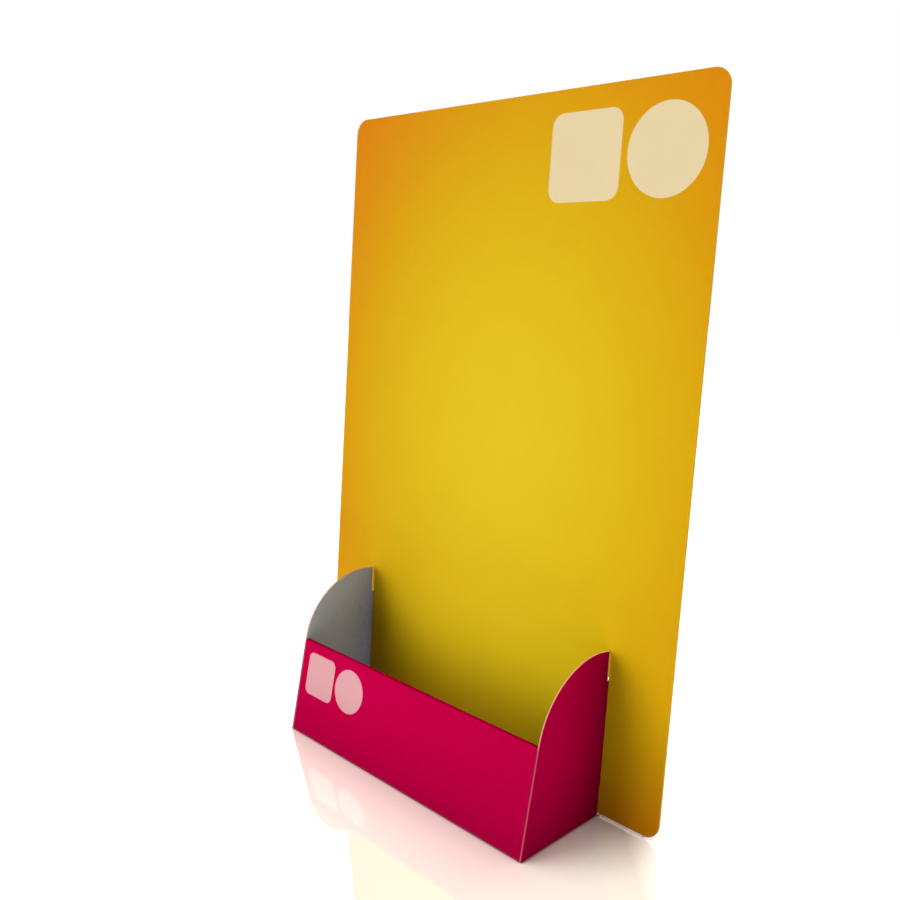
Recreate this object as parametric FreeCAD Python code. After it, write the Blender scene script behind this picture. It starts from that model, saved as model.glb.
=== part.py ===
import FreeCAD, Part
import math
import os

# Counter display stand for leaflets, folded from two die-cut cards.
# The back panel leans back on a base flap creased under its foot. The leaflet tray stands
# in front of it, and its side walls run through two slots of the panel and end behind it
# as gussets that stand on the base flap. To put it up, the gussets go through the slots with
# the tray held high, and the tray is then pushed down: the notch in each wall takes the bridge
# of card under its slot, and the foot of each gusset drops into a slot of the base flap.
#
# Millimetres. X runs across the front, Y to the rear, Z up. The table is at Z = 0.
# Sub-parts are drawn with Y = 0 where the panel's front face meets its crease, and are
# moved at the end so that the origin is under the middle of the whole stand.

# Card
CARD = 1.25
FOLD_OUTER_RADIUS = 0.8
FOLD_INNER_RADIUS = 0.15
FIT_CLEARANCE = 0.2

# Back panel
PANEL_WIDTH = 300.0
PANEL_HEIGHT = 420.0
PANEL_CORNER_RADIUS = 10.0
PANEL_LEAN = 4.83
BRIDGE_HEIGHT = 17.0

# Base flap, creased backwards under the panel and tapering to the rear
BASE_FLAP_DEPTH = 60.0
BASE_FLAP_REAR_MARGIN = 1.75
BASE_FLAP_SHOULDER = 2.5
BASE_FLAP_CORNER_RADIUS = 8.0

# Leaflet tray
TRAY_INNER_WIDTH = 213.0
TRAY_DEPTH = 67.4
LIP_HEIGHT = 64.5
LIP_LEAN = 12.45
LIP_LAYER_GAP = 0.5
LIP_SPINE_RADIUS = 0.9
LIP_END_GAP = 0.25
CORNER_RELIEF = 4.0

# Glue tabs at the ends of the lip's inner layer
GLUE_TAB_LENGTH = 16.0
GLUE_TAB_FOOT = 7.0
GLUE_TAB_HEAD = 10.0
GLUE_TAB_TAPER = 5.0

# Side walls
WALL_HEIGHT = 102.5
WALL_ARC_RADIUS = 50.0
WALL_REVEAL = 1.4
TAB_TOP = 83.0
LIFT_MARGIN = 0.4

# Gussets behind the panel
GUSSET_DEPTH = 50.0
GUSSET_SHOULDER = 7.0
GUSSET_TOE_HEIGHT = 9.0
GUSSET_SHOULDER_RADIUS = 4.0
GUSSET_TOE_RADIUS = 3.0
GUSSET_HEEL_RADIUS = 1.0
FOOT_LENGTH = 18.0
FOOT_SETBACK = 10.0
FOOT_LIFT = 0.15

# Worked out from the sizes above
lean = math.radians(PANEL_LEAN)
lip_lean = math.radians(LIP_LEAN)
crease_height = CARD
inner_half = TRAY_INNER_WIDTH / 2
outer_half = inner_half + CARD
wall_centre = inner_half + CARD / 2
lip_spine = 2 * CARD + LIP_LAYER_GAP
through_cut = 3 * CARD
slot_width = CARD + 2 * FIT_CLEARANCE
slot_bottom = crease_height + BRIDGE_HEIGHT
slot_top = TAB_TOP + slot_bottom - FOOT_LIFT + LIFT_MARGIN
foot_front = GUSSET_DEPTH - FOOT_SETBACK - FOOT_LENGTH
foot_rear = GUSSET_DEPTH - FOOT_SETBACK


def panel_front(z):
    """Y of the panel's front face at a height above the table."""
    return (z - crease_height) * math.tan(lean)


def panel_back(z):
    """Y of the panel's rear face at a height above the table."""
    return panel_front(z) + CARD / math.cos(lean)


def lip_point(along, inward=0.0):
    """Point of the lip's section: distance up its outer face, and depth behind that face."""
    y = -TRAY_DEPTH + along * math.sin(lip_lean) + inward * math.cos(lip_lean)
    z = along * math.cos(lip_lean) - inward * math.sin(lip_lean)
    return (y, z)


def side_view(point):
    """Turns a (y, z) pair into a point of the plane X = 0."""
    return FreeCAD.Vector(0, point[0], point[1])


def corner_arc(before, corner, after, radius):
    """Start, middle and end of the arc that rounds one corner."""
    to_before = (before - corner).normalize()
    to_after = (after - corner).normalize()
    half_angle = to_before.getAngle(to_after) / 2
    reach = radius / math.tan(half_angle)
    middle_line = (to_before + to_after).normalize()
    centre = corner + middle_line * (radius / math.sin(half_angle))
    return (corner + to_before * reach, centre - middle_line * radius, corner + to_after * reach)


def path_edges(corners):
    """Edges of an open path of (point, radius) corners; the two ends stay sharp."""
    edges = []
    start = corners[0][0]
    for (before, _), (corner, radius), (after, _) in zip(corners, corners[1:], corners[2:]):
        if radius > 0:
            arc_start, arc_middle, arc_end = corner_arc(before, corner, after, radius)
            edges.append(Part.makeLine(start, arc_start))
            edges.append(Part.Arc(arc_start, arc_middle, arc_end).toShape())
            start = arc_end
        else:
            edges.append(Part.makeLine(start, corner))
            start = corner
    edges.append(Part.makeLine(start, corners[-1][0]))
    return edges


def closed_face(corners):
    """Face inside a closed outline of (point, radius) corners; the first corner stays sharp."""
    return Part.Face(Part.Wire(path_edges(corners + [corners[0]])))


def section_prism(corners, half_width):
    """Section of (y, z, radius) corners, stretched to both sides of the middle plane."""
    placed = [(side_view((y, z)), radius) for y, z, radius in corners]
    face = closed_face(placed)
    face.translate(FreeCAD.Vector(-half_width, 0, 0))
    return face.extrude(FreeCAD.Vector(2 * half_width, 0, 0))


def rounded_rectangle(width, height, radius):
    """Upright rectangle in the plane Y = 0, standing on Z = 0, with four round corners."""
    half = width / 2
    low_middle = FreeCAD.Vector(0, 0, 0)
    corners = [
        (low_middle, 0),
        (FreeCAD.Vector(half, 0, 0), radius),
        (FreeCAD.Vector(half, 0, height), radius),
        (FreeCAD.Vector(-half, 0, height), radius),
        (FreeCAD.Vector(-half, 0, 0), radius),
    ]
    return closed_face(corners)


def panel_board():
    """The printed board, with its two slots, leant back about its crease."""
    board = rounded_rectangle(PANEL_WIDTH, PANEL_HEIGHT, PANEL_CORNER_RADIUS)
    board = board.extrude(FreeCAD.Vector(0, CARD, 0))
    slot_foot = (slot_bottom - crease_height) / math.cos(lean)
    slot_length = (slot_top - slot_bottom) / math.cos(lean)
    for side in (-1, 1):
        corner = FreeCAD.Vector(side * wall_centre - slot_width / 2, -CARD, slot_foot)
        board = board.cut(Part.makeBox(slot_width, through_cut, slot_length, corner))
    board.translate(FreeCAD.Vector(0, 0, crease_height))
    board.rotate(FreeCAD.Vector(0, 0, crease_height), FreeCAD.Vector(1, 0, 0), -PANEL_LEAN)
    return board


def flap_plan(half_width, height):
    """Plan of the flap, as a block: full width at the crease, tapering to round rear corners."""
    half_rear = outer_half + BASE_FLAP_REAR_MARGIN
    front = -CARD
    corners = [
        (FreeCAD.Vector(0, front, 0), 0),
        (FreeCAD.Vector(half_width, front, 0), 0),
        (FreeCAD.Vector(half_width, BASE_FLAP_SHOULDER, 0), 0),
        (FreeCAD.Vector(half_rear, BASE_FLAP_DEPTH, 0), BASE_FLAP_CORNER_RADIUS),
        (FreeCAD.Vector(-half_rear, BASE_FLAP_DEPTH, 0), BASE_FLAP_CORNER_RADIUS),
        (FreeCAD.Vector(-half_width, BASE_FLAP_SHOULDER, 0), 0),
        (FreeCAD.Vector(-half_width, front, 0), 0),
    ]
    return closed_face(corners).extrude(FreeCAD.Vector(0, 0, height))


def base_flap():
    """The flap under the panel, with the crease that joins them and the slots for the feet."""
    half_width = PANEL_WIDTH / 2 - PANEL_CORNER_RADIUS
    neck_top = crease_height + PANEL_CORNER_RADIUS / 2
    section = [
        (panel_front(neck_top), neck_top, 0),
        (panel_front(0), 0, FOLD_OUTER_RADIUS),
        (BASE_FLAP_DEPTH, 0, 0),
        (BASE_FLAP_DEPTH, CARD, 0),
        (panel_back(CARD), CARD, FOLD_INNER_RADIUS),
        (panel_back(neck_top), neck_top, 0),
    ]
    flap = section_prism(section, half_width).common(flap_plan(half_width, neck_top))
    slot_length = FOOT_LENGTH + 2 * FIT_CLEARANCE
    for side in (-1, 1):
        corner = FreeCAD.Vector(side * wall_centre - slot_width / 2, foot_front - FIT_CLEARANCE, -CARD)
        flap = flap.cut(Part.makeBox(slot_width, slot_length, through_cut, corner))
    return flap


def back_panel():
    return panel_board().fuse(base_flap()).removeSplitter()


def wall_outline():
    """Outline of one side wall: leaning front edge, big arc, hook through the slot, gusset."""
    arc_rise = WALL_ARC_RADIUS * (1 - math.sin(lip_lean))
    straight = (WALL_HEIGHT - arc_rise) / math.cos(lip_lean)
    arc_start = lip_point(straight)
    centre_y, centre_z = lip_point(straight, WALL_ARC_RADIUS)
    arc_middle = (centre_y - WALL_ARC_RADIUS / math.sqrt(2), centre_z + WALL_ARC_RADIUS / math.sqrt(2))

    # The arc ends on the wall's rear edge, which stands a little in front of the panel.
    slope = math.tan(lean)
    offset = panel_front(centre_z) - WALL_REVEAL - centre_y
    rise = math.sqrt(WALL_ARC_RADIUS ** 2 * (1 + slope ** 2) - offset ** 2)
    rise = (rise - slope * offset) / (1 + slope ** 2)
    peak = (centre_y + offset + slope * rise, centre_z + rise)

    notch_top = slot_bottom + FIT_CLEARANCE
    notch_front_top = panel_front(notch_top) - FIT_CLEARANCE
    notch_rear_top = panel_back(notch_top) + FIT_CLEARANCE
    notch_rear_foot = panel_back(CARD) + FIT_CLEARANCE
    corners = [
        (peak, 0),
        ((panel_front(TAB_TOP) - WALL_REVEAL, TAB_TOP), 0),
        ((panel_back(TAB_TOP) + GUSSET_SHOULDER, TAB_TOP), GUSSET_SHOULDER_RADIUS),
        ((GUSSET_DEPTH, CARD + GUSSET_TOE_HEIGHT), GUSSET_TOE_RADIUS),
        ((GUSSET_DEPTH, CARD), 0),
        ((foot_rear, CARD), 0),
        ((foot_rear, FOOT_LIFT), 0),
        ((foot_front, FOOT_LIFT), 0),
        ((foot_front, CARD), 0),
        ((notch_rear_foot, CARD), GUSSET_HEEL_RADIUS),
        ((notch_rear_top, notch_top), 0),
        ((notch_front_top, notch_top), 0),
        ((panel_front(0) - FIT_CLEARANCE, 0), 0),
        (lip_point(0), 0),
    ]
    edges = path_edges([(side_view(point), radius) for point, radius in corners])
    edges.append(Part.makeLine(side_view(lip_point(0)), side_view(arc_start)))
    edges.append(Part.Arc(side_view(arc_start), side_view(arc_middle), side_view(peak)).toShape())
    return Part.Face(Part.Wire(edges))


def side_wall(side):
    """One side wall, with the fold to the tray's floor rounded along its outer foot."""
    inner = side * inner_half
    outer = side * outer_half
    face = wall_outline()
    face.translate(FreeCAD.Vector(inner, 0, 0))
    wall = face.extrude(FreeCAD.Vector(outer - inner, 0, 0))
    fold_edges = []
    for edge in wall.Edges:
        if all(abs(vertex.X - outer) < 0.001 and abs(vertex.Z) < 0.001 for vertex in edge.Vertexes):
            fold_edges.append(edge)
    return wall.makeFillet(FOLD_OUTER_RADIUS, fold_edges)


def floor_sides():
    """The floor out to the folds of the side walls, cut back at the two front corners."""
    front = -TRAY_DEPTH + CORNER_RELIEF
    rear = panel_front(0) - FIT_CLEARANCE
    corner = FreeCAD.Vector(-inner_half, front, 0)
    return Part.makeBox(TRAY_INNER_WIDTH, rear - front, CARD, corner)


def floor_and_lip():
    """One strip of card: the floor, creased up into the lip, over a flat spine and down inside."""
    inner_foot = CARD + FIT_CLEARANCE
    spine_drop = lip_spine * math.sin(lip_lean)
    inner_end = (inner_foot + spine_drop) / math.cos(lip_lean)
    fold_top = CARD / math.cos(lip_lean) + CARD * math.tan(lip_lean)
    gap_radius = min(FOLD_INNER_RADIUS, LIP_LAYER_GAP / 3)
    floor_rear = panel_front(0) - FIT_CLEARANCE
    section = [
        (floor_rear, 0, 0),
        lip_point(0) + (FOLD_OUTER_RADIUS,),
        lip_point(LIP_HEIGHT) + (LIP_SPINE_RADIUS,),
        lip_point(LIP_HEIGHT, lip_spine) + (LIP_SPINE_RADIUS,),
        lip_point(inner_end, lip_spine) + (0,),
        lip_point(inner_end, lip_spine - CARD) + (0,),
        lip_point(LIP_HEIGHT - CARD, lip_spine - CARD) + (gap_radius,),
        lip_point(LIP_HEIGHT - CARD, CARD) + (gap_radius,),
        lip_point(fold_top, CARD) + (FOLD_INNER_RADIUS,),
        (floor_rear, CARD, 0),
    ]
    return section_prism(section, inner_half - LIP_END_GAP)


def glue_tab(side):
    """Tab folded back from the end of the lip's inner layer and glued inside the wall."""
    head = LIP_HEIGHT - GLUE_TAB_HEAD
    root = lip_spine - CARD
    tip = lip_spine + GLUE_TAB_LENGTH
    corners = [
        (side_view(lip_point(GLUE_TAB_FOOT, root)), 0),
        (side_view(lip_point(head, root)), 0),
        (side_view(lip_point(head, lip_spine)), 0),
        (side_view(lip_point(head - GLUE_TAB_TAPER, tip)), 0),
        (side_view(lip_point(GLUE_TAB_FOOT + GLUE_TAB_TAPER, tip)), 0),
        (side_view(lip_point(GLUE_TAB_FOOT, lip_spine)), 0),
    ]
    face = closed_face(corners)
    face.translate(FreeCAD.Vector(side * inner_half, 0, 0))
    return face.extrude(FreeCAD.Vector(-side * CARD, 0, 0))


def leaflet_tray():
    card = floor_and_lip()
    card = card.fuse([floor_sides(), side_wall(-1), side_wall(1), glue_tab(-1), glue_tab(1)])
    return card.removeSplitter()


os.makedirs("parts", exist_ok=True)

stand = {
    "back_panel": back_panel(),
    "leaflet_tray": leaflet_tray(),
}

whole = Part.makeCompound(list(stand.values())).BoundBox
to_origin = FreeCAD.Vector(-whole.Center.x, -whole.Center.y, 0)

for name, shape in stand.items():
    shape.translate(to_origin)
    print(name, "solids", len(shape.Solids), "valid", shape.isValid(), "volume", round(shape.Volume, 1))
    shape.exportStep("parts/" + name + ".step")

print("origin moved by Y", round(to_origin.y, 4))
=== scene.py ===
import math

import bmesh
import bpy
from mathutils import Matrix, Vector
from mathutils.bvhtree import BVHTree


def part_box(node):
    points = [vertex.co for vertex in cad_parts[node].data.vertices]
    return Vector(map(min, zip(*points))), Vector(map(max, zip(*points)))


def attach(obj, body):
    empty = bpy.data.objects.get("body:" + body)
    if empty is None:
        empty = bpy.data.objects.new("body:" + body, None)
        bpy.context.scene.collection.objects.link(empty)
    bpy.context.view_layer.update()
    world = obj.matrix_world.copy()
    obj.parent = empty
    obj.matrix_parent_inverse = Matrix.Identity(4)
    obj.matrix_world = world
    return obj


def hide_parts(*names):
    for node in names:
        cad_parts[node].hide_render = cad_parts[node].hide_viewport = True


# Counter display stand of folded card: a printed board with a leaflet tray in front of it.
# Metres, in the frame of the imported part: X across the front, Y to the rear, Z up.

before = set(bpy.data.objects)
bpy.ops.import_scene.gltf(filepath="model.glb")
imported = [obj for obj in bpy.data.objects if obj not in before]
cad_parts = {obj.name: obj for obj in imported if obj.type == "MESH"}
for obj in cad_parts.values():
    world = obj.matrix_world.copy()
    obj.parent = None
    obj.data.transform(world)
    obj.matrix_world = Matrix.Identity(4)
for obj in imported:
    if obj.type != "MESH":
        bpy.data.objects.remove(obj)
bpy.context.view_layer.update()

# Cards
PANEL_LOW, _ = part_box("back_panel")
TRAY_LOW, TRAY_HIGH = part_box("leaflet_tray")
CARD = 0.00125
TRAY_INNER = TRAY_HIGH.x - CARD
LIP_LEAN = math.radians(12.45)
LIP_HEIGHT = 0.0645
LIP_DEPTH = 0.003
CREASE_DEPTH = 4 * CARD
CREASE_HEIGHT = 2 * CARD

# Share of a face's normal that lies along an axis
ALONG = 0.99
MOSTLY = 0.9
HALF = 0.5
HARDLY = 0.05

# Finish of the cards' edges. A hair is a length that counts as nothing.
HAIR = 0.00001
WELD = HAIR / 10
EDGE_ROUNDING = 0.0001
ROUNDING_STEPS = 2
ROUNDING_TRIES = 8
CROWDED_WITHIN = 0.002
STRAY_BEYOND = 0.6 * EDGE_ROUNDING
FLAT_WITHIN = math.radians(0.3)
SHARP_EDGE = math.radians(60)
SMOOTH_BELOW = math.radians(50)
FULL_WEIGHT = 100

# Slots of the board, above the tabs of the tray's walls
SLOT_PLACE = TRAY_INNER + CARD / 2
SLOT_WITHIN = 0.001
SLOT_CLOSES_FROM = 0.0842
SLOT_CLOSED_FROM = 0.0848
SLOT_SPRING = 0.0004

# Printed and bare card, as linear colours
YELLOW_CENTRE = (0.77, 0.55, 0.015)
YELLOW = (0.71, 0.485, 0.007)
AMBER = (0.675, 0.375, 0.003)
ORANGE = (0.675, 0.30, 0.002)
DEEP_ORANGE = (0.68, 0.205, 0.001)
CRIMSON = (0.54, 0.0002, 0.057)
CRIMSON_MIDDLE = (0.505, 0.0002, 0.053)
# Painted light at the tray's foot, which offsets the painted corner shade there
CRIMSON_FOOT_PAINTED_LIGHT = (0.61, 0.0002, 0.064)
# Painted shade for the crest of the lip's fold
CREST_PAINTED_SHADE = (0.27, 0.0001, 0.020)
PALE_CREAM = (0.765, 0.62, 0.36)
PALE_PINK = (0.72, 0.36, 0.38)
WHITE_COAT = (1.00, 0.85, 0.74)
BOARD_REVERSE = (0.47, 0.47, 0.46)
# Painted cool tint on the grey reverse in front of the board, against the warm light bounced there
POCKET_REVERSE_PAINTED_COOL = (0.46, 0.52, 0.64)
BOARD_EDGE_INK = (0.90, 0.54, 0.07)
CARD_CORE = (0.60, 0.35, 0.19)
TRAY_EDGE_INK = (0.42, 0.08, 0.11)
NO_TINT = (1.0, 1.0, 1.0)

# Print of the board: rings of colour round a centre, which is given across and up. Over the
# print lie painted shade at the foot and painted light in two low bands. Each band has a middle
# height and a reach to both sides of it.
PRINT_STARTS = CARD + 0.0003
INK_RIM = 0.0001
RING_CENTRE = (0.014, 0.202)
RING_RADIUS = 0.22
RINGS_TALLER = 1.36
RING_COLOURS = [(0.0, YELLOW_CENTRE), (0.36, YELLOW), (0.62, AMBER), (0.78, ORANGE), (1.0, DEEP_ORANGE)]
# Painted light in a low band, where the tray shades the board: the rings are pulled in, to yellow
PAINTED_LIGHT_YELLOWER_BAND = (0.062, 0.055)
PAINTED_LIGHT_YELLOWER_BY = 0.13
# Painted shade at the board's foot: below this height the rings reach further out, to orange
PAINTED_FOOT_SHADE_BELOW = 0.03
PAINTED_FOOT_SHADE_BY = 0.12
# Painted light: a lighter band low on the board, where the tray shades it
PAINTED_LIGHT_BAND = (0.078, 0.05)
PAINTED_LIGHT_BY = 0.10

# Colour of the tray: crimson print by height, painted lighter at the foot, with painted shade
# that deepens across the lip to the right, and painted shade at the crest of the lip's fold
LIP_COLOURS = [(0.0, CRIMSON_FOOT_PAINTED_LIGHT), (0.5, CRIMSON_MIDDLE), (1.0, CRIMSON)]
LIP_SHADE_FROM = -0.05
LIP_SHADE_OVER = 0.15
LIP_PAINTED_SHADE_BY = 0.13
LIP_SKIN = 0.0005
CREST_ABOVE = 0.05
CREST_TURNS_FROM = 0.3
CREST_TURNS_OVER = 0.4

# Marks: the left end, the height of the middle and the width of each, and shares of the width
# and of a square's side
BOARD_MARK = (0.0345, 0.381, 0.106)
TRAY_MARK = (-0.100, 0.043, 0.060)
MARK_SIDE = 0.48
MARK_CORNER = 0.16

# Ink on the cut edges
BOARD_INK_RUNS_OVER = 0.0005
TRAY_INK_FROM = TRAY_INNER + 0.55 * CARD
LIP_INK_RUNS_OVER = 0.004

# Painted shade: how much red, green and blue a colour loses in closed corners, and how near a
# closed corner is
PANEL_PAINTED_SHADE = (0.40, 0.22, 0.22)
PANEL_CORNER_REACH = 0.08
TRAY_PAINTED_SHADE = (1.0, 1.0, 1.0)
REVERSE_PAINTED_SHADE = (0.5, 0.5, 0.5)
CORNER_REACH = 0.05
CORNER_SAMPLES = 8

# Features of the card's surface: their sizes, and how much they change its level
PRINT_FIBRE = 0.0006
PRINT_GRAIN = 0.000012
WAVE = 0.02
WAVE_DEEPER = 8
WAVE_STRENGTH = 0.25
RUBBED_PATCH = 0.05
PRINT_ROUGHNESS = 0.4
RUBBED_ROUGHER = 0.2
INK_CLOUD = 0.03
INK_CLOUD_SPREAD = 0.05
INK_SPECKLE = 0.0004
INK_SPECKLE_SPREAD = 0.06
PULP_FIBRE = 0.0015
PULP_FIBRE_SPREAD = 0.16
PULP_CLOUD = 0.035
PULP_CLOUD_SPREAD = 0.22
PULP_GRAIN = 0.00003
PULP_ROUGHNESS = 0.75
FLECK = 0.0035
FLECK_DARK_FROM = 0.70
FLECK_PALE_BELOW = 0.30
FLECK_RIM = 0.03
FLECK_LEVEL = 0.14
REAR_FADES_OVER = 0.004
CUT_FIBRE = 0.0003
CUT_FIBRE_SPREAD = 0.24
CUT_GRAIN = 0.00004
CUT_ROUGHNESS = 0.8
BOARD_SPECULAR = 0.02
TRAY_SPECULAR = 0.0
PULP_SPECULAR = 0.1
CUT_SPECULAR = 0.2

# Table. Its white carries a painted warm tint of bounced light, warmer in front of the stand
# than on its right, and a painted contact shadow near the stand. Close to the tray it takes on a
# painted red contact shade, and close to the board the light of the white fold.
FLOOR_RADIUS = 4.0
FLOOR_SIDES = 64
FLOOR_GAP = 0.0001
# Painted warm tint of bounced light: in front of the stand, and less beside it on its right
FLOOR_WHITE = (0.86, 0.745, 0.68)
FLOOR_WHITE_BESIDE = (0.88, 0.82, 0.73)
BESIDE_FROM = 0.10
BESIDE_OVER = 0.03
FLOOR_BOUNCE = (0.55, 0.55, 0.55)
FLOOR_GLOSS = 0.25
FLOOR_ROUGHNESS = 0.02
CONTACT_REACH = 0.05
# Painted contact shadow: share of the white that is lost near the stand
PAINTED_CONTACT_SHADOW = 0.8
TOUCH_REACH = 0.002
# Painted red contact shade, where the tray touches the table
PAINTED_RED_CONTACT_SHADE = (0.60, 0.02, 0.16)
PAINTED_RED_CONTACT_SHADE_SHARE = 2.1

# Glow that keeps the table white: everywhere a little, and more on both sides of the stand. The
# right side starts from a sum of X and Y. The left side starts from a place on X, and from a
# line through the tray's front left corner, which is given by its weights of X and Y.
FLOOR_GLOW = 0.08
SIDE_GLOW = 0.5
RIGHT_FROM = 0.130
RIGHT_OVER = 0.032
LEFT_FROM = 0.108
LEFT_OVER = 0.003
LEFT_LINE = (-0.475, -0.880)
LEFT_LINE_FROM = 0.1073
LEFT_LINE_OVER = 0.0015
FOLD_GLOW = 0.40
FOLD_TINT = (1.0, 0.70, 0.60)
FOLD_TINT_SHARE = 4.0

# Light: each lamp's name, azimuth and elevation in degrees, and level
SKY_LEVEL = 0.03
LAMP_SOFTNESS = math.radians(50)
LAMPS = (
    ("front_lamp", -38, 17, 0.565),
    ("side_lamp", -60, 50, 0.38),
    ("top_lamp", 0, 90, 0.36),
    ("right_lamp", 92, 42, 0.235),
)

# Camera, with its lens and sensor in millimetres
CAMERA_PLACE = Vector((0.424206, -0.422392, 0.326849))
CAMERA_AZIMUTH = math.radians(46.059)
CAMERA_ELEVATION = math.radians(11.442)
CAMERA_LENS = 38.962
CAMERA_SENSOR = 36.0
CAMERA_SEES_TO = 20.0


class Tree:
    """Short ways to add and join the nodes of one material, or of the world."""

    def __init__(self, owner):
        owner.use_nodes = True
        self.owner = owner
        self.nodes = owner.node_tree.nodes
        self.links = owner.node_tree.links
        self.nodes.clear()

    def add(self, kind, **settings):
        node = self.nodes.new(kind)
        for name, value in settings.items():
            setattr(node, name, value)
        return node

    def feed(self, socket, value):
        """Joins a socket to another one, or sets it to a plain value."""
        if isinstance(value, bpy.types.NodeSocket):
            self.links.new(value, socket)
        elif value is not None:
            socket.default_value = value

    def math(self, operation, first, second=None, third=None, clamp=False):
        node = self.add("ShaderNodeMath", operation=operation, use_clamp=clamp)
        for socket, value in zip(node.inputs, (first, second, third)):
            self.feed(socket, value)
        return node.outputs[0]

    def rise(self, value, start, length):
        """0 up to the start, and from there evenly up to 1 over the length."""
        return self.math("DIVIDE", self.math("SUBTRACT", value, start), length, clamp=True)

    def fall(self, value, end, length):
        """1 at first, and evenly down to 0 over the length before the end."""
        return self.math("DIVIDE", self.math("SUBTRACT", end, value), length, clamp=True)

    def band(self, value, middle, reach):
        """1 in the middle of a band, and evenly down to 0 at its reach to both sides."""
        away = self.math("ABSOLUTE", self.math("SUBTRACT", value, middle))
        return self.math("SUBTRACT", 1.0, self.math("DIVIDE", away, reach), clamp=True)

    def uneven(self, noise, spread):
        """Factor round 1 that follows a noise, with the spread between its ends."""
        return self.math("MULTIPLY_ADD", noise, spread, 1 - spread / 2)

    def mix(self, share, first, second, blend="MIX"):
        node = self.add("ShaderNodeMix", data_type="RGBA", blend_type=blend)
        self.feed(node.inputs[0], share)
        for socket, value in ((node.inputs[6], first), (node.inputs[7], second)):
            self.feed(socket, (*value, 1) if isinstance(value, tuple) else value)
        return node.outputs[2]

    def times(self, first, second):
        """Product of two colours, or of a colour and a level."""
        return self.mix(1.0, first, second, blend="MULTIPLY")

    def ramp(self, value, stops):
        """Smooth colour ramp with (place, linear colour) stops."""
        node = self.add("ShaderNodeValToRGB")
        node.color_ramp.interpolation = "B_SPLINE"
        elements = node.color_ramp.elements
        while len(elements) < len(stops):
            elements.new(0.5)
        for element, (place, colour) in zip(elements, stops):
            element.position = place
            element.color = (*colour, 1)
        self.feed(node.inputs[0], value)
        return node.outputs[0]

    def place(self):
        """Place of the surface point, in the object's own metres."""
        return self.add("ShaderNodeTexCoord").outputs["Object"]

    def apart(self, vector):
        """X, Y and Z of a vector."""
        node = self.add("ShaderNodeSeparateXYZ")
        self.feed(node.inputs[0], vector)
        return node.outputs[0], node.outputs[1], node.outputs[2]

    def openness(self, reach):
        """1 where nothing is within reach, and less in corners and at contacts."""
        node = self.add("ShaderNodeAmbientOcclusion", samples=CORNER_SAMPLES)
        node.inputs["Distance"].default_value = reach
        return node.outputs["AO"]

    def noise(self, place, size, detail=3.0, roughness=0.5):
        """Noise from 0 to 1 whose features are about one size across."""
        node = self.add("ShaderNodeTexNoise")
        self.feed(node.inputs["Vector"], place)
        node.inputs["Scale"].default_value = 1 / size
        node.inputs["Detail"].default_value = detail
        node.inputs["Roughness"].default_value = roughness
        return node.outputs[0]

    def bump(self, height, distance, strength=1.0, normal=None):
        node = self.add("ShaderNodeBump")
        node.inputs["Strength"].default_value = strength
        node.inputs["Distance"].default_value = distance
        self.feed(node.inputs["Height"], height)
        self.feed(node.inputs["Normal"], normal)
        return node.outputs[0]

    def together(self, first, second):
        """Sum of two shaders."""
        node = self.add("ShaderNodeAddShader")
        for socket, shader in zip(node.inputs, (first, second)):
            self.feed(socket, shader.outputs[0])
        return node

    def surface(self, shader):
        """The material, finished with a shader as its surface."""
        output = self.add("ShaderNodeOutputMaterial")
        self.feed(output.inputs["Surface"], shader.outputs[0])
        return self.owner

    def card(self, colour, roughness, specular, normal):
        """The material, finished as a card of this colour."""
        shader = self.add("ShaderNodeBsdfPrincipled")
        self.feed(shader.inputs["Base Color"], colour)
        self.feed(shader.inputs["Roughness"], roughness)
        shader.inputs["Specular IOR Level"].default_value = specular
        self.feed(shader.inputs["Normal"], normal)
        return self.surface(shader)


def new_material(name):
    return Tree(bpy.data.materials.new(name))


def inside_disc(tree, across, up, centre, radius):
    """1 inside a disc and 0 outside it, with a fine soft rim."""
    dx = tree.math("SUBTRACT", across, centre[0])
    dz = tree.math("SUBTRACT", up, centre[1])
    squares = tree.math("ADD", tree.math("MULTIPLY", dx, dx), tree.math("MULTIPLY", dz, dz))
    return tree.fall(tree.math("SQRT", squares), radius, INK_RIM)


def inside_rectangle(tree, across, up, centre, size, corner):
    """1 inside a rectangle with round corners and 0 outside it."""
    over = []
    for value, middle, side in ((across, centre[0], size[0]), (up, centre[1], size[1])):
        away = tree.math("ABSOLUTE", tree.math("SUBTRACT", value, middle))
        away = tree.math("SUBTRACT", away, side / 2 - corner)
        away = tree.math("MAXIMUM", away, 0.0)
        over.append(tree.math("MULTIPLY", away, away))
    return tree.fall(tree.math("SQRT", tree.math("ADD", over[0], over[1])), corner, INK_RIM)


def printed_mark(tree, across, up, left, middle, width):
    """Plain mark of the print: a square and a disc of one size, side by side."""
    side = MARK_SIDE * width
    square = inside_rectangle(tree, across, up, (left + side / 2, middle), (side, side),
                              MARK_CORNER * side)
    disc = inside_disc(tree, across, up, (left + width - side / 2, middle), side / 2)
    return tree.math("MAXIMUM", square, disc)


def paper_grain(tree, place, depth):
    """Fine fibres in the card's surface, and a slow unevenness of the board."""
    fibres = tree.noise(place, PRINT_FIBRE, detail=5.0, roughness=0.65)
    waves = tree.noise(place, WAVE, detail=2.0)
    fine = tree.bump(fibres, depth)
    return tree.bump(waves, WAVE_DEEPER * depth, strength=WAVE_STRENGTH, normal=fine)


def painted_corner_shade(tree, colour, loss, reach):
    """Paints shade into a colour in the corners, where one card meets another or the table."""
    closed = tree.math("SUBTRACT", 1.0, tree.openness(reach))
    kept = tuple(1 - part for part in loss)
    return tree.times(colour, tree.mix(closed, NO_TINT, kept))


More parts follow.
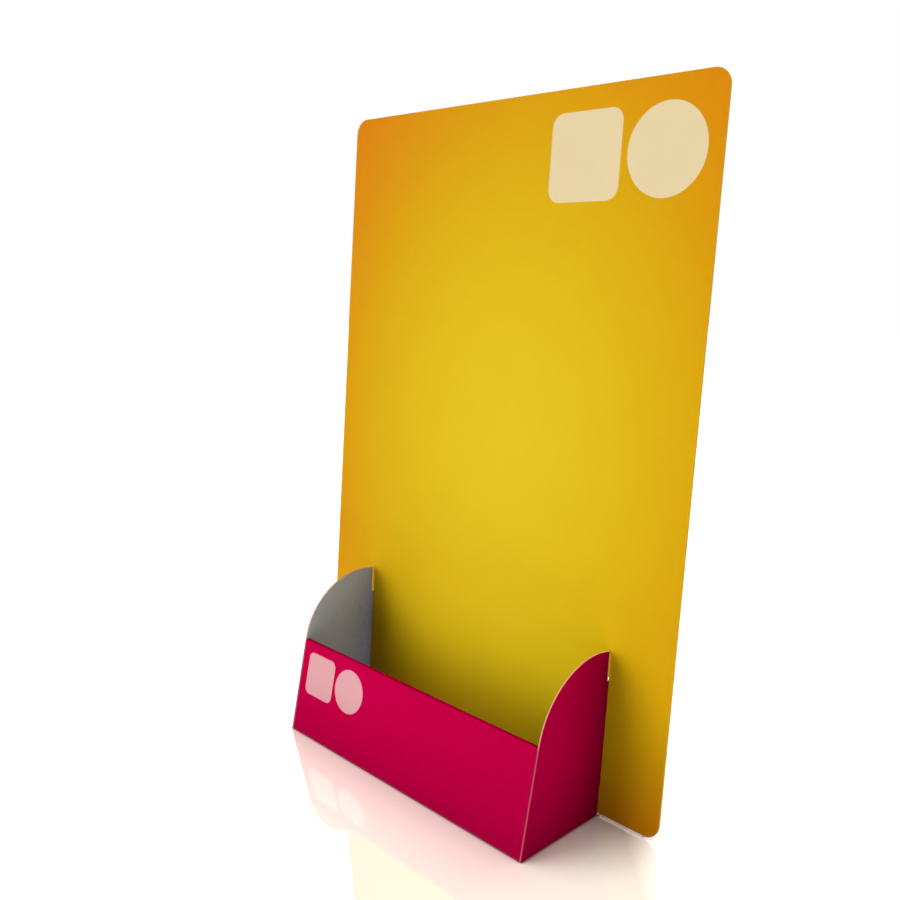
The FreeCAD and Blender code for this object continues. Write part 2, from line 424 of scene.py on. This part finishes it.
def print_roughness(tree, place):
    """Matt varnish, a little more rubbed in some places than in others."""
    rubbed = tree.noise(place, RUBBED_PATCH, detail=5.0)
    return tree.math("MULTIPLY_ADD", rubbed, RUBBED_ROUGHER, PRINT_ROUGHNESS)


def ink(tree, place, colour):
    """Print is never quite even: the ink lies a little thicker and thinner over the fibres."""
    cloud = tree.uneven(tree.noise(place, INK_CLOUD, detail=4.0), INK_CLOUD_SPREAD)
    speckle = tree.uneven(tree.noise(place, INK_SPECKLE, detail=2.0), INK_SPECKLE_SPREAD)
    return tree.times(colour, tree.math("MULTIPLY", cloud, speckle))


def ring_place(tree, x, z):
    """How far out in the board's rings of colour a point lies: 0 at their centre, 1 at the end.
    Painted shade moves a point out at the board's foot, and painted light moves it in within a
    low band.
    """
    dx = tree.math("SUBTRACT", x, RING_CENTRE[0])
    dz = tree.math("DIVIDE", tree.math("SUBTRACT", z, RING_CENTRE[1]), RINGS_TALLER)
    squares = tree.math("ADD", tree.math("MULTIPLY", dx, dx), tree.math("MULTIPLY", dz, dz))
    out = tree.math("DIVIDE", tree.math("SQRT", squares), RING_RADIUS)
    # painted shade: further out in the rings, to orange, at the board's foot
    out = tree.math("MULTIPLY_ADD", tree.fall(z, PAINTED_FOOT_SHADE_BELOW, PAINTED_FOOT_SHADE_BELOW), PAINTED_FOOT_SHADE_BY, out)
    # painted light: nearer the yellow centre in a low band, where the tray shades the board
    painted_yellower = tree.math("MULTIPLY", tree.band(z, *PAINTED_LIGHT_YELLOWER_BAND), PAINTED_LIGHT_YELLOWER_BY)
    return tree.math("SUBTRACT", out, painted_yellower, clamp=True)


def panel_print_and_painted_shading_material():
    """Yellow board that deepens to orange at its edges, and stays white under the crease. Painted
    shade at its foot and in its corners, and painted light in two low bands, lie over the print.
    """
    tree = new_material("panel_print_and_painted_shading")
    place = tree.place()
    x, _, z = tree.apart(place)
    colour = tree.ramp(ring_place(tree, x, z), RING_COLOURS)
    colour = tree.mix(printed_mark(tree, x, z, *BOARD_MARK), colour, PALE_CREAM)
    # painted light: a lighter band low on the board
    colour = tree.times(colour, tree.math("MULTIPLY_ADD", tree.band(z, *PAINTED_LIGHT_BAND), PAINTED_LIGHT_BY, 1.0))
    colour = ink(tree, place, colour)
    # painted shade in the corners where the board meets the tray and the table
    colour = painted_corner_shade(tree, colour, PANEL_PAINTED_SHADE, PANEL_CORNER_REACH)
    colour = tree.mix(tree.rise(z, PRINT_STARTS, INK_RIM), WHITE_COAT, colour)
    grain = paper_grain(tree, place, PRINT_GRAIN)
    return tree.card(colour, print_roughness(tree, place), BOARD_SPECULAR, grain)


def tray_print_and_painted_shading_material():
    """Crimson tray with a mark on the lip: painted lighter at its foot, against the painted corner
    shade there, and with painted shade on the lip's right and on the crest of its fold.
    """
    tree = new_material("tray_print_and_painted_shading")
    place = tree.place()
    x, y, z = tree.apart(place)
    _, to_rear, upward = tree.apart(tree.add("ShaderNodeNewGeometry").outputs["True Normal"])
    on_lip = tree.math("LESS_THAN", to_rear, -MOSTLY)
    # crimson by height, painted lighter at the foot against the painted corner shade there
    ground = tree.ramp(tree.rise(z, 0.0, LIP_HEIGHT), LIP_COLOURS)
    # painted shade: the lip deepens towards its right
    across = tree.rise(x, LIP_SHADE_FROM, LIP_SHADE_OVER)
    shaded_right = tree.times(ground, tree.math("MULTIPLY_ADD", across, -LIP_PAINTED_SHADE_BY, 1.0))
    ground = tree.mix(on_lip, ground, shaded_right)
    mark = printed_mark(tree, x, tree.math("DIVIDE", z, math.cos(LIP_LEAN)), *TRAY_MARK)
    outside = tree.math("LESS_THAN", y, TRAY_LOW.y + LIP_HEIGHT * math.sin(LIP_LEAN) + LIP_SKIN)
    mark = tree.math("MULTIPLY", mark, tree.math("MULTIPLY", outside, on_lip))
    colour = tree.mix(mark, ground, PALE_PINK)
    # painted shade on the crest of the lip's fold, where its faces turn upward
    crest = tree.rise(upward, CREST_TURNS_FROM, CREST_TURNS_OVER)
    crest = tree.math("MULTIPLY", crest, tree.math("GREATER_THAN", z, CREST_ABOVE))
    colour = tree.mix(crest, colour, CREST_PAINTED_SHADE)
    colour = ink(tree, place, colour)
    # painted shade in the corners where the tray meets the board and the table
    colour = painted_corner_shade(tree, colour, TRAY_PAINTED_SHADE, CORNER_REACH)
    grain = paper_grain(tree, place, PRINT_GRAIN)
    return tree.card(colour, print_roughness(tree, place), TRAY_SPECULAR, grain)


def reverse_material(name, in_front, behind):
    """Unprinted grey reverse of a card: clouded pulp with short fibres and a few darker and
    lighter flecks. In front of the board its grey may carry a painted tint against the light
    bounced there, and so differ from the grey behind it."""
    tree = new_material(name)
    place = tree.place()
    _, y, _ = tree.apart(place)
    # in front of the board the grey may carry a painted tint against the light bounced there
    grey = tree.mix(tree.rise(y, PANEL_LOW.y + 2 * CARD, REAR_FADES_OVER), in_front, behind)
    fibres = tree.noise(place, PULP_FIBRE, detail=6.0, roughness=0.7)
    clouds = tree.noise(place, PULP_CLOUD, detail=4.0)
    level = tree.math("MULTIPLY", tree.uneven(fibres, PULP_FIBRE_SPREAD),
                      tree.uneven(clouds, PULP_CLOUD_SPREAD))
    flecks = tree.noise(place, FLECK, detail=1.0)
    dark = tree.rise(flecks, FLECK_DARK_FROM, FLECK_RIM)
    pale = tree.fall(flecks, FLECK_PALE_BELOW, FLECK_RIM)
    level = tree.math("MULTIPLY_ADD", tree.math("SUBTRACT", pale, dark), FLECK_LEVEL, level)
    # painted shade in the corners of the bare reverse
    colour = painted_corner_shade(tree, tree.times(grey, level), REVERSE_PAINTED_SHADE, CORNER_REACH)
    return tree.card(colour, PULP_ROUGHNESS, PULP_SPECULAR, paper_grain(tree, place, PULP_GRAIN))


def inked_board_edge(tree, place):
    """The ink has run over the edge of the printed board, but not of its bare base flap."""
    _, _, z = tree.apart(place)
    return tree.mix(tree.rise(z, PRINT_STARTS, BOARD_INK_RUNS_OVER), CARD_CORE, BOARD_EDGE_INK)


def inked_tray_edge(tree, place):
    """The ink has run over the outer part of the walls' edge, and over all of it beside the lip."""
    x, y, z = tree.apart(place)
    outer = tree.rise(tree.math("ABSOLUTE", x), TRAY_INK_FROM, INK_RIM)
    beside = tree.fall(z, LIP_HEIGHT, LIP_INK_RUNS_OVER)
    ahead = tree.math("LESS_THAN", y, PANEL_LOW.y)
    colour = tree.mix(tree.math("MULTIPLY", beside, ahead), CARD_CORE, TRAY_EDGE_INK)
    return tree.mix(tree.math("MULTIPLY", outer, ahead), colour, CRIMSON)


def cut_edge_material(name, inked_edge):
    """Cut edge of a card, with the fibres that it is pressed from."""
    tree = new_material(name)
    place = tree.place()
    fibres = tree.noise(place, CUT_FIBRE, detail=4.0, roughness=0.7)
    colour = tree.times(inked_edge(tree, place), tree.uneven(fibres, CUT_FIBRE_SPREAD))
    return tree.card(colour, CUT_ROUGHNESS, CUT_SPECULAR, tree.bump(fibres, CUT_GRAIN))


PRINT, BACK, CUT = range(3)


def panel_side(normal, middle):
    """Side of the card that a face of the back panel is: printed, bare back or cut edge."""
    at_foot = middle.y < PANEL_LOW.y + CREASE_DEPTH
    if abs(normal.x) > HARDLY:
        return CUT
    if normal.y < -MOSTLY and middle.z > CARD:
        return PRINT
    if middle.z < HAIR and normal.z < -ALONG or middle.z < CARD and at_foot and normal.y < HARDLY:
        return PRINT
    if normal.y > MOSTLY and normal.z < -HARDLY or abs(middle.z - CARD) < HAIR and normal.z > ALONG:
        return BACK
    if middle.z < CREASE_HEIGHT and at_foot and normal.y > 0 and normal.z > 0:
        return BACK
    return CUT


def lip_depth(point):
    """How far a point lies behind the outer face of the leaning lip."""
    return (point.y - TRAY_LOW.y) * math.cos(LIP_LEAN) - point.z * math.sin(LIP_LEAN)


def tray_side(normal, middle):
    """Side of the card that a face of the tray is."""
    across = abs(middle.x)
    outward = normal.x * middle.x > 0
    if middle.z < HAIR and normal.z < -ALONG:
        return PRINT if middle.y < PANEL_LOW.y else CUT
    if across > TRAY_INNER - HAIR:
        if abs(normal.x) < HARDLY:
            return CUT
        return PRINT if outward else BACK
    if abs(normal.x) > HALF:
        return CUT if outward else PRINT
    if middle.z < CARD + HAIR and normal.z > ALONG:
        return BACK
    if middle.z < CARD and abs(normal.y) > ALONG:
        return CUT
    depth = lip_depth(middle)
    if depth > LIP_DEPTH + HAIR or normal.z < -MOSTLY and middle.z > CARD:
        return CUT
    if CARD - HAIR < depth < LIP_DEPTH - CARD + HAIR and middle.z > 2 * HAIR and normal.z < MOSTLY:
        return BACK
    return PRINT


def clean_copy(node, side_of):
    """Mesh of a CAD node with its card sides told apart and its flat faces whole again."""
    mesh = bmesh.new()
    mesh.from_mesh(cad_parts[node].data)
    bmesh.ops.remove_doubles(mesh, verts=mesh.verts, dist=WELD)
    mesh.normal_update()
    for face in mesh.faces:
        face.material_index = side_of(face.normal, face.calc_center_median())
    bmesh.ops.dissolve_limit(mesh, angle_limit=FLAT_WITHIN, verts=mesh.verts, edges=mesh.edges,
                             delimit={"MATERIAL"})
    mesh.normal_update()
    return mesh


def close_slots(mesh):
    """Above the tabs the card has sprung back a little, so the slots are narrower there."""
    def in_slot(corner):
        return abs(abs(corner.co.x) - SLOT_PLACE) < SLOT_WITHIN

    for height in (SLOT_CLOSES_FROM, SLOT_CLOSED_FROM):
        sides = [face for face in mesh.faces
                 if abs(face.normal.x) > MOSTLY and all(in_slot(corner) for corner in face.verts)]
        edges = {edge for face in sides for edge in face.edges}
        corners = {corner for face in sides for corner in face.verts}
        bmesh.ops.bisect_plane(mesh, geom=[*sides, *edges, *corners], dist=WELD,
                               plane_co=(0, 0, height), plane_no=(0, 0, 1))
    for corner in mesh.verts:
        if in_slot(corner) and corner.co.z > SLOT_CLOSED_FROM - HAIR:
            middle = math.copysign(SLOT_PLACE, corner.co.x)
            corner.co.x -= math.copysign(SLOT_SPRING, corner.co.x - middle)


def round_edges(mesh):
    """Takes the sharpness off the cut edges. Edges at the ends of a fold, where the rounding
    has no room and would leave the card, stay as they are."""
    card = BVHTree.FromBMesh(mesh)
    lowest = min(corner.co.z for corner in mesh.verts)
    crowded = []
    for _ in range(ROUNDING_TRIES):
        rounded = mesh.copy()
        sharp = [edge for edge in rounded.edges if edge.calc_face_angle(0) > SHARP_EDGE
                 and not any((end.co - place).length < CROWDED_WITHIN
                             for end in edge.verts for place in crowded)]
        bmesh.ops.bevel(rounded, geom=sharp, offset=EDGE_ROUNDING, offset_type="OFFSET",
                        profile=0.5, segments=ROUNDING_STEPS, affect="EDGES",
                        clamp_overlap=False, material=-1)
        strays = [corner.co for corner in rounded.verts if corner.co.z < lowest - WELD
                  or card.find_nearest(corner.co)[3] > STRAY_BEYOND]
        if not strays:
            return rounded
        crowded += [card.find_nearest(place)[0] for place in strays]
        rounded.free()
    return mesh


def dressed(name, node, side_of, materials):
    """Piece that stands for a CAD node, with soft edges and a material for each side of the card."""
    mesh = clean_copy(node, side_of)
    if node == "back_panel":
        close_slots(mesh)
    mesh = round_edges(mesh)
    data = bpy.data.meshes.new(name)
    mesh.to_mesh(data)
    mesh.free()
    for material in materials:
        data.materials.append(material)
    for polygon in data.polygons:
        polygon.use_smooth = True
    data.set_sharp_from_angle(angle=SMOOTH_BELOW)
    piece = bpy.data.objects.new(name, data)
    bpy.context.scene.collection.objects.link(piece)
    weighted = piece.modifiers.new("flat faces stay flat", "WEIGHTED_NORMAL")
    weighted.keep_sharp = True
    weighted.weight = FULL_WEIGHT
    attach(piece, "root")
    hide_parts(node)


def table_white(tree, x, open_air, red_line):
    """White of the table with a painted warm tint, a painted contact shadow near the stand and a
    painted red contact shade in the line where the tray touches it.
    """
    # painted warm tint of bounced light, less on the stand's right
    white = tree.mix(tree.rise(x, BESIDE_FROM, BESIDE_OVER), FLOOR_WHITE, FLOOR_WHITE_BESIDE)
    # painted contact shadow near the stand
    white = tree.times(white, tree.math("MULTIPLY_ADD", open_air, PAINTED_CONTACT_SHADOW, 1 - PAINTED_CONTACT_SHADOW))
    # painted red contact shade in the line where the tray touches the table
    red_contact_shade = tree.math("MULTIPLY", red_line, PAINTED_RED_CONTACT_SHADE_SHARE, clamp=True)
    return tree.mix(red_contact_shade, white, tree.times(white, PAINTED_RED_CONTACT_SHADE))


def table_glow(tree, x, y, open_air, light_line):
    """Glow of the table, as (level, colour)."""
    right = tree.rise(tree.math("ADD", x, y), RIGHT_FROM, RIGHT_OVER)
    left = tree.rise(tree.math("MULTIPLY", x, -1.0), LEFT_FROM, LEFT_OVER)
    line = tree.math("MULTIPLY_ADD", y, LEFT_LINE[1], tree.math("MULTIPLY", x, LEFT_LINE[0]))
    left = tree.math("MAXIMUM", left, tree.rise(line, LEFT_LINE_FROM, LEFT_LINE_OVER))
    level = tree.math("MULTIPLY", open_air, FLOOR_GLOW)
    level = tree.math("MULTIPLY_ADD", tree.math("MAXIMUM", left, right), SIDE_GLOW, level)
    level = tree.math("MULTIPLY_ADD", light_line, FOLD_GLOW, level)
    tinted = tree.math("MULTIPLY", light_line, FOLD_TINT_SHARE, clamp=True)
    return level, tree.mix(tinted, NO_TINT, FOLD_TINT)


def floor_material():
    """Polished white table: it shows as white, keeps the shadow and mirrors the stand faintly."""
    tree = new_material("table")
    x, y, _ = tree.apart(tree.place())
    seen = tree.add("ShaderNodeLightPath").outputs["Is Camera Ray"]
    open_air = tree.openness(CONTACT_REACH)
    in_front = tree.math("LESS_THAN", y, PANEL_LOW.y + CARD)
    touched = tree.math("SUBTRACT", 1.0, tree.openness(TOUCH_REACH))
    touched = tree.math("MULTIPLY", touched, in_front)
    by_tray = tree.math("LESS_THAN", tree.math("ABSOLUTE", x), TRAY_HIGH.x + TOUCH_REACH)
    red_line = tree.math("MULTIPLY", touched, by_tray)
    light_line = tree.math("SUBTRACT", touched, red_line)
    shade = tree.add("ShaderNodeBsdfDiffuse")
    white = table_white(tree, x, open_air, red_line)
    tree.feed(shade.inputs["Color"], tree.mix(seen, FLOOR_BOUNCE, white))
    gloss = tree.add("ShaderNodeBsdfGlossy")
    gloss.inputs["Roughness"].default_value = FLOOR_ROUGHNESS
    gloss.inputs["Color"].default_value = (FLOOR_GLOSS, FLOOR_GLOSS, FLOOR_GLOSS, 1)
    glow = tree.add("ShaderNodeEmission")
    level, colour = table_glow(tree, x, y, open_air, light_line)
    tree.feed(glow.inputs["Color"], colour)
    tree.feed(glow.inputs["Strength"], tree.math("MULTIPLY", level, seen))
    return tree.surface(tree.together(tree.together(shade, gloss), glow))


def make_floor():
    mesh = bmesh.new()
    bmesh.ops.create_circle(mesh, cap_ends=True, radius=FLOOR_RADIUS, segments=FLOOR_SIDES)
    data = bpy.data.meshes.new("table_top")
    mesh.to_mesh(data)
    mesh.free()
    data.materials.append(floor_material())
    table = bpy.data.objects.new("table_top", data)
    table.location.z = -FLOOR_GAP
    bpy.context.scene.collection.objects.link(table)


def make_world():
    """Even pale sky. The camera and mirrors see plain white behind the stand."""
    world = bpy.data.worlds.new("studio")
    bpy.context.scene.world = world
    tree = Tree(world)
    paths = tree.add("ShaderNodeLightPath")
    looked_at = tree.math("MAXIMUM", paths.outputs["Is Camera Ray"], paths.outputs["Is Glossy Ray"])
    sky = tree.add("ShaderNodeBackground")
    sky.inputs["Color"].default_value = (1, 1, 1, 1)
    tree.feed(sky.inputs["Strength"], tree.math("MULTIPLY_ADD", looked_at, 1 - SKY_LEVEL, SKY_LEVEL))
    output = tree.add("ShaderNodeOutputWorld")
    tree.feed(output.inputs["Surface"], sky.outputs[0])


def make_lamp(name, azimuth, elevation, level):
    """Wide soft lamp far away. Its level is the white that it gives a card that faces it.
    Azimuth 0 is straight in front of the stand, and grows to the right."""
    data = bpy.data.lights.new(name, "SUN")
    data.angle = LAMP_SOFTNESS
    data.energy = level * math.pi
    lamp = bpy.data.objects.new(name, data)
    a, e = math.radians(azimuth), math.radians(elevation)
    away = Vector((math.sin(a) * math.cos(e), -math.cos(a) * math.cos(e), math.sin(e)))
    lamp.rotation_euler = (-away).to_track_quat("-Z", "Y").to_euler()
    bpy.context.scene.collection.objects.link(lamp)


def make_camera():
    data = bpy.data.cameras.new("camera")
    data.lens = CAMERA_LENS
    data.sensor_width = CAMERA_SENSOR
    data.clip_end = CAMERA_SEES_TO
    camera = bpy.data.objects.new("camera", data)
    flat = math.cos(CAMERA_ELEVATION)
    ahead = Vector((-math.sin(CAMERA_AZIMUTH) * flat, math.cos(CAMERA_AZIMUTH) * flat,
                    -math.sin(CAMERA_ELEVATION)))
    camera.location = CAMERA_PLACE
    camera.rotation_euler = ahead.to_track_quat("-Z", "Y").to_euler()
    bpy.context.scene.collection.objects.link(camera)
    bpy.context.scene.camera = camera


dressed("display_board", "back_panel", panel_side,
        [panel_print_and_painted_shading_material(), reverse_material("board_reverse", BOARD_REVERSE, BOARD_REVERSE),
         cut_edge_material("board_edge", inked_board_edge)])
dressed("folded_tray", "leaflet_tray", tray_side,
        [tray_print_and_painted_shading_material(), reverse_material("tray_reverse", POCKET_REVERSE_PAINTED_COOL, BOARD_REVERSE),
         cut_edge_material("tray_edge", inked_tray_edge)])
make_floor()
make_world()
for lamp in LAMPS:
    make_lamp(*lamp)
make_camera()
bpy.context.scene.view_settings.view_transform = "Standard"
